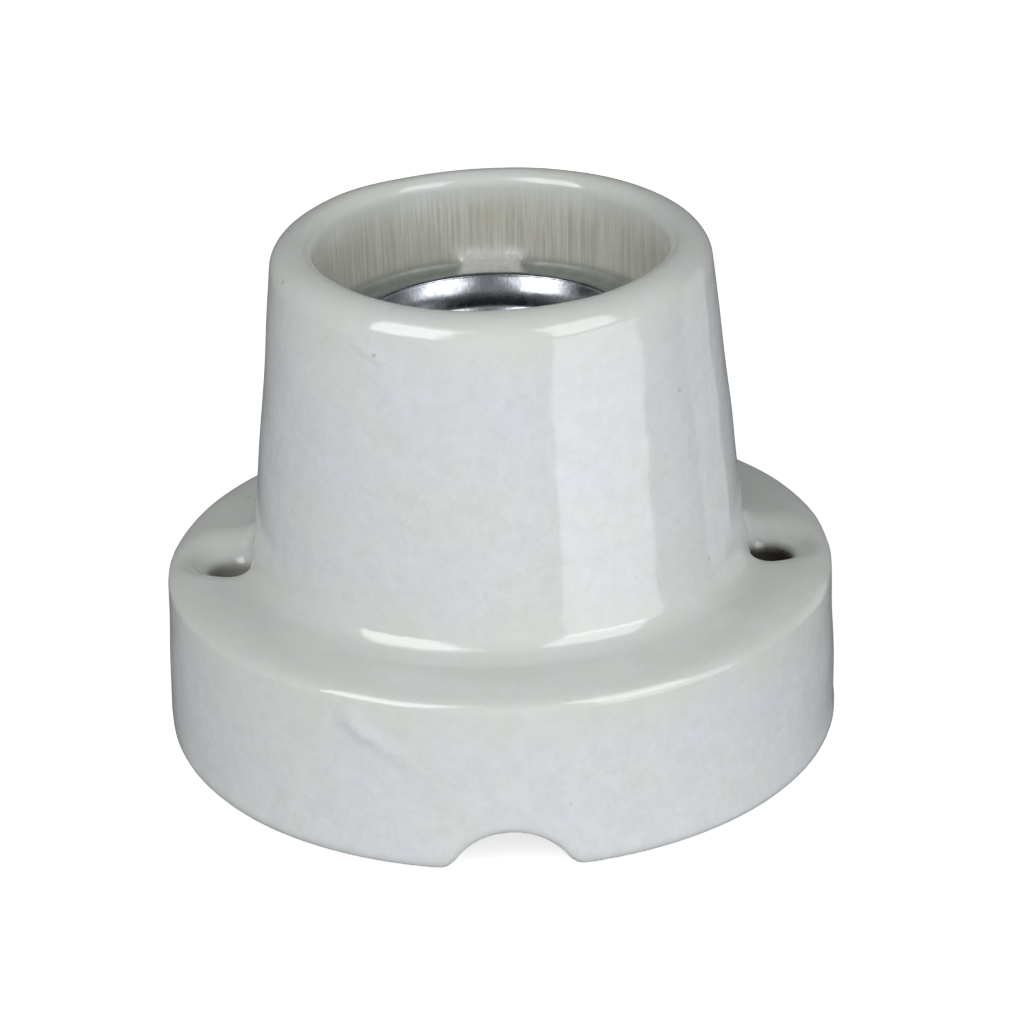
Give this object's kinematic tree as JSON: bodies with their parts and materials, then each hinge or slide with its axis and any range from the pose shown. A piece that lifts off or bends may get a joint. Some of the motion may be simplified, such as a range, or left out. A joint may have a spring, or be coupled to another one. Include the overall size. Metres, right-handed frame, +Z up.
{
  "type": "porcelain surface-mount lampholder",
  "caption": "Glazed porcelain screw-shell lampholder: round flanged base with cable notch and fixing holes, tapered neck, threaded metal shell, spring centre contact and clamp terminals below.",
  "frame": {"origin": "centre of the base's underside", "axes": "+Z up along the lamp axis to the open rim, -Y through the cable notch, X through the two fixing holes"},
  "size_m": [0.075, 0.0749, 0.058],
  "materials": {
    "porcelain": "glossy clear glaze over pale grey-white porcelain",
    "plated_steel": "bright nickel plate",
    "zinc_steel": "satin zinc plate",
    "brass": "stamped, lightly tarnished",
    "bronze": "rolled phosphor bronze"
  },
  "bodies": {
    "root": {"porcelain_body": "porcelain", "threaded_shell": "plated_steel", "shell_screw_left": "zinc_steel", "shell_screw_right": "zinc_steel", "shell_screw_spring_washer": "zinc_steel", "shell_screw_nut": "zinc_steel", "contact_foot": "bronze", "contact_screw": "zinc_steel", "line_terminal_bar": "brass", "neutral_terminal_bar": "brass"},
    "contact_tongue": {"contact_tongue": "bronze"},
    "line_clamp_saddle": {"line_clamp_saddle": "brass"},
    "line_clamp_screw": {"line_clamp_screw": "zinc_steel"},
    "neutral_clamp_saddle": {"neutral_clamp_saddle": "brass"},
    "neutral_clamp_screw": {"neutral_clamp_screw": "zinc_steel"}
  },
  "joints": [
    {"name": "contact_press", "type": "hinge", "parent": "root", "child": "contact_tongue", "pos_m": [0, -0.0026, 0.02485], "axis": [-1, 0, 0], "range_deg": [0, 14], "stiffness_Nm_per_rad": 0.06},
    {"name": "line_saddle_slide", "type": "slide", "parent": "root", "child": "line_clamp_saddle", "axis": [0, 0, -1], "range_m": [0, 0.0024]},
    {"name": "line_screw_turn", "type": "hinge", "parent": "line_clamp_saddle", "child": "line_clamp_screw", "pos_m": [-0.0135, -0.014, 0.0149], "axis": [0, 0, -1], "range_deg": [0, 1440]},
    {"name": "neutral_saddle_slide", "type": "slide", "parent": "root", "child": "neutral_clamp_saddle", "axis": [0, 0, -1], "range_m": [0, 0.0024]},
    {"name": "neutral_screw_turn", "type": "hinge", "parent": "neutral_clamp_saddle", "child": "neutral_clamp_screw", "pos_m": [0.0135, -0.014, 0.0149], "axis": [0, 0, -1], "range_deg": [0, 1440]}
  ],
  "couplings": [
    {"joint": "line_screw_turn", "follows": "line_saddle_slide", "rad_per_m": 10472},
    {"joint": "neutral_screw_turn", "follows": "neutral_saddle_slide", "rad_per_m": 10472}
  ]
}
